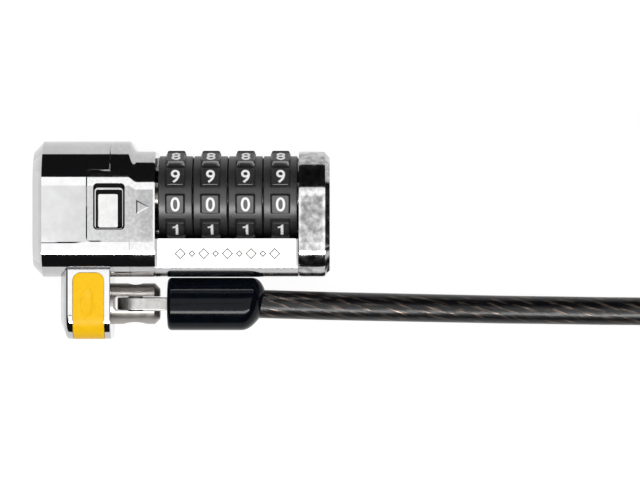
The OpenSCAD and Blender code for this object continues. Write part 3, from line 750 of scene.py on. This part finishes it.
def add_lug():
    x0, x1 = lug_low.x, lug_high.x
    left = [(0, 2.6), (0.8, 0.62), (0.92, 0.38), (1.05, 0.2), (1.2, 0.07), (1.4, 0)]
    rings = [at_x(x0 + x, lug_flat(-5.1, i)) for x, i in left]
    rings += [at_x(x1 - 0.12, lug_flat(-5.1)), at_x(x1, lug_flat(-5.1, 0.12))]
    lug = piece("lug_block", *loft(rings), "housing", "chrome", CHROME, ["cable_lug"])
    shadow = outline(HEAD_LOW - 0.05, HEAD_TOP + 9, -0.05, DEPTH + 0.05, (BACK_R, BACK_R, TOP_R, LOW_R))
    cut(lug, loft([at_x(x0 - 1, shadow), at_x(x1 + 1, shadow)]))
    gap = 0.06
    a, b = insert_low.x - gap, insert_high.x + gap
    cut(lug, block(a, b, -FAR, -8, -5, FAR))
    cut(lug, prism(outline(a, b, -FAR, insert_high.y + gap, (0.02, 0.02, 1.5, 1.5), 10), 17.4, FAR))
    cut(lug, lathe_x([(-14, 3.65), (-10, 3.65)], swivel_axis.y, swivel_axis.z, 64))
    edge_break(lug, 0.12)


def add_insert():
    """Yellow moulding that wraps the lug's front and lower side, with a plain oval boss."""
    x0, x1 = insert_low.x, insert_high.x
    rings = [at_x(x0, lug_flat(insert_high.y, 0.05)), at_x(x0 + 0.15, lug_flat(insert_high.y)),
             at_x(x1 - 0.15, lug_flat(insert_high.y)), at_x(x1, lug_flat(insert_high.y, 0.05))]
    insert = piece("insert_moulding", *loft(rings), "housing", "yellow_plastic", YELLOW, ["lug_insert"])
    cut(insert, block(x0 - 1, x1 + 1, -16.1, 10, 6.6, 17.5))
    cut(insert, block(x0 - 1, x1 + 1, -8.5, 10, -5, 17.5))
    front = outline(x0 - 0.01, x1 + 0.01, -FAR, insert_high.y, (0.02, 0.02, 1.45, 1.45), 10)
    cut(insert, prism(front, -5, FAR), "INTERSECT")
    edge_break(insert, 0.12)
    cx, r = (x0 + x1) / 2, 1.3
    boss = [at_z(lug_top + z, [(cx + (r - i) * cos(a), -11 + (2.7 - i) * sin(a)) for a in
                               [2 * pi * k / 48 for k in range(48)]])
            for z, i in ((-0.2, 0), (0.06, 0), (0.12, 0.12), (0.12, 0.4), (0.06, 0.5))]
    piece("insert_boss", *loft(boss), "housing", "yellow_plastic", YELLOW)


def add_clevis():
    y, z, r = swivel_axis.y, swivel_axis.z, 3.6
    end = clevis_high.x
    profile = [(-16.6, r), (-14.56, r), (-14.55, 3), (-13.75, 3), (-13.74, r), (end - 0.9, r), (end, r - 0.9)]
    clevis = piece("clevis", *lathe_x(profile, y, z, 96), "swivel", "steel", STEEL, ["swivel_clevis"])
    half = 1.3
    slot = outline(-12.05, 5, y - half, y + half, (0.7, 0.01, 0.01, 0.7), 8)
    cut(clevis, prism(slot, z - 6, z + 6))
    middle = (pivot.x, y, z)
    dimple = [(-4.9, 4.0), (-3.6, 2.15), (-3.1, 1.45), (-2.9, 1.3), (-1, 1.3)]
    cut(clevis, turned_along_y(dimple, middle, 64))
    cut(clevis, turned_along_y([(-1.2, 1.31), (4, 1.31)], middle, 48))
    edge_break(clevis, 0.07)


def add_eye():
    """Steel eye and shank, one piece with the crimped sleeve inside the boot."""
    y, z, t = swivel_axis.y, swivel_axis.z, 1.1
    r, neck, far = 3.2, 3.1, -1.0
    a = math.asin(neck / r)
    flat = [(pivot.x + r * cos(b), z + r * sin(b)) for b in
            [a + (2 * pi - 2 * a) * i / 48 for i in range(49)]] + [(far, z - neck), (far, z + neck)]
    rings = [[(u, y + w, v) for u, v in flat] for w in (-t, t)]
    eye = piece("cable_eye", *loft(rings), "cable_end", "steel", EYE_STEEL, ["cable_terminal"])
    cut(eye, turned_along_y([(-3, 1.36), (3, 1.36)], (pivot.x, y, z), 48))
    edge_break(eye, 0.16, 3)
    sleeve = lathe_x([(-1.4, 2.9), (-1.1, 3.2), (10.9, 3.2), (11.2, 2.9)], y, z, 64)
    piece("crimp_sleeve", *sleeve, "cable_end", "steel", EYE_STEEL)


def add_boot():
    """Glossy moulded strain relief, square at the eye, with a slanted mouth at the cable."""
    y, z, r = -11.3, swivel_axis.z, 4.66
    edge, full, mouth, mouth_r = 0.7, 11.15, 14.0, 2.62
    profile = [(boot_low.x + 0.5, 3.3), (boot_low.x, 3.4)]
    profile += [(boot_low.x + edge * (1 - sin(a)), r - edge * (1 - cos(a)))
                for a in [pi / 2 - pi / 2 * i / 6 for i in range(7)]]
    profile += [(x, r) for x in (2, 5, 7, 8, 9, 10)]
    profile += [(full + (mouth - full) * t, r - (r - mouth_r) * t ** 2.4)
                for t in [i / 12 for i in range(13)]]
    profile += [(mouth - 0.1, 2.55), (mouth - 1.2, 2.53)]
    verts, faces = lathe_x(profile, y, z, 96)
    slant = math.tan(math.radians(11))
    verts = [(x + slant * (v - y) * ease((x - 6) / 5), v, w) for x, v, w in verts]
    piece("boot", verts, faces, "cable_end", "boot_black", BOOT, ["cable_boot"], sharp=40)


add_lug()
add_insert()
add_clevis()
add_eye()
add_boot()


# ---- return springs ----
def add_spring(node, axis, turns):
    """Coil spring that fills its CAD node's box."""
    low, high = [Vector(p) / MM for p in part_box(node)]
    middle = (low + high) / 2
    wire, steps, play = 0.2, 20, 0.05
    radius = (high.y - low.y) / 2 - wire
    length = high[axis] - low[axis] - 2 * wire
    path = []
    for i in range(turns * steps + 1):
        angle = 2 * pi * i / steps
        place = Vector((radius * cos(angle), radius * sin(angle), 0))
        if axis == 0:
            place = Vector((0, place.x, place.y))
        place += middle
        place[axis] = low[axis] + wire + length * i / (turns * steps)
        path.append(place)
    rings = tube(path, wire, 8)[0]
    spring = piece(node + "_coil", *loft(rings), "housing", "steel", SPRING, [node], sharp=60)
    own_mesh(spring)


add_spring("latch_spring", 2, 5)
add_spring("spindle_spring", 0, 4)


# ---- finishes of the pieces that keep their CAD shape ----
def finish_nodes():
    looks = {STEEL: ["socket_bush", "latch_plate", "spindle", "reset_screw", "cap_screws", "head_pins",
                     "lug_pin", "clevis_pin", "rope_end"],
             SPRING: ["detent_spring", "swivel_clip"],
             BRASS: ["code_ring_1", "code_ring_2", "code_ring_3", "code_ring_4"]}
    for material, names in looks.items():
        for name in names:
            for holder in frame["nodes"][name].material_slots:
                holder.material = material


finish_nodes()


# ---- floor and light ----
def add_floor():
    mat, nodes, links = new_material("floor_white")
    shader = nodes["Principled BSDF"]
    shader.inputs["Roughness"].default_value = 0.9
    shader.inputs["Specular IOR Level"].default_value = 0.0
    fac = noise(nodes, links, 30)
    tone = two_tone(nodes, links, fac, (0.11, 0.11, 0.11), (0.13, 0.13, 0.13))
    links.new(tone, shader.inputs["Base Color"])
    shader.inputs["Emission Color"].default_value = (1, 1, 1, 1)
    shader.inputs["Emission Strength"].default_value = 0.93
    size, z = 2500, -0.05
    corners = [(-size, -size, z), (size, -size, z), (size, size, z), (-size, size, z)]
    piece("floor", corners, [[0, 1, 2, 3]], None, None, mat)


def add_light(name, place, aim, size, power, glossy=True, diffuse=True):
    data = bpy.data.lights.new(name, "AREA")
    data.shape = "RECTANGLE"
    data.size, data.size_y = size[0] * MM, size[1] * MM
    data.energy = power
    light = bpy.data.objects.new(name, data)
    light.location = Vector(place) * MM
    light.rotation_euler = (Vector(aim) - Vector(place)).to_track_quat("-Z", "Y").to_euler()
    light.visible_glossy = glossy
    light.visible_diffuse = diffuse
    bpy.context.scene.collection.objects.link(light)


def add_card():
    """A panel round the camera that the flat chrome faces mirror, brighter to the left, with a dark one
    beside it."""
    mat, nodes, links = new_material("card_grey")
    nodes.clear()
    out = nodes.new("ShaderNodeOutputMaterial")
    glow = nodes.new("ShaderNodeEmission")
    coords = nodes.new("ShaderNodeTexCoord")
    split = nodes.new("ShaderNodeSeparateXYZ")
    links.new(coords.outputs["Object"], split.inputs["Vector"])
    links.new(spread(nodes, links, split.outputs["X"], 1.62, 1.0, -0.095, -0.035), glow.inputs["Strength"])
    links.new(glow.outputs["Emission"], out.inputs["Surface"])
    for name, material, x0, x1, y0, y1 in (("card", mat, -170, 110, -11, 50),
                                           ("card_edge", PAINTED_SHADE_AND_CARD_BLACK, -170, -70, -85, -42)):
        corners = [(x0, y0, 900), (x1, y0, 900), (x1, y1, 900), (x0, y1, 900)]
        piece(name, corners, [[3, 2, 1, 0]], None, None, material)


def add_world():
    """A dark studio for the light, with a pale backdrop beyond the floor's edge in low views."""
    world = bpy.data.worlds.new("studio")
    world.use_nodes = True
    nodes, links = world.node_tree.nodes, world.node_tree.links
    backdrop = nodes.new("ShaderNodeMix")
    backdrop.data_type = "RGBA"
    backdrop.inputs["A"].default_value = (0.012, 0.012, 0.013, 1)
    backdrop.inputs["B"].default_value = (0.86, 0.86, 0.86, 1)
    links.new(nodes.new("ShaderNodeLightPath").outputs["Is Camera Ray"], backdrop.inputs["Factor"])
    links.new(backdrop.outputs["Result"], nodes["Background"].inputs["Color"])
    bpy.context.scene.world = world


add_floor()
add_card()
# the overhead light makes the white bands, the strip shows in reflections only, the fill on surfaces only
add_light("overhead", (200, -185, 1000), (200, -185, 0), (1300, 1250), 9.7)
add_light("low_strip", (230, -700, 960), (230, -11, 12), (1200, 210), 20, diffuse=False)
add_light("fill", (0, 0, 1100), (0, 0, 0), (900, 900), 5.5, glossy=False)
add_world()
bpy.context.scene.view_settings.view_transform = "Standard"
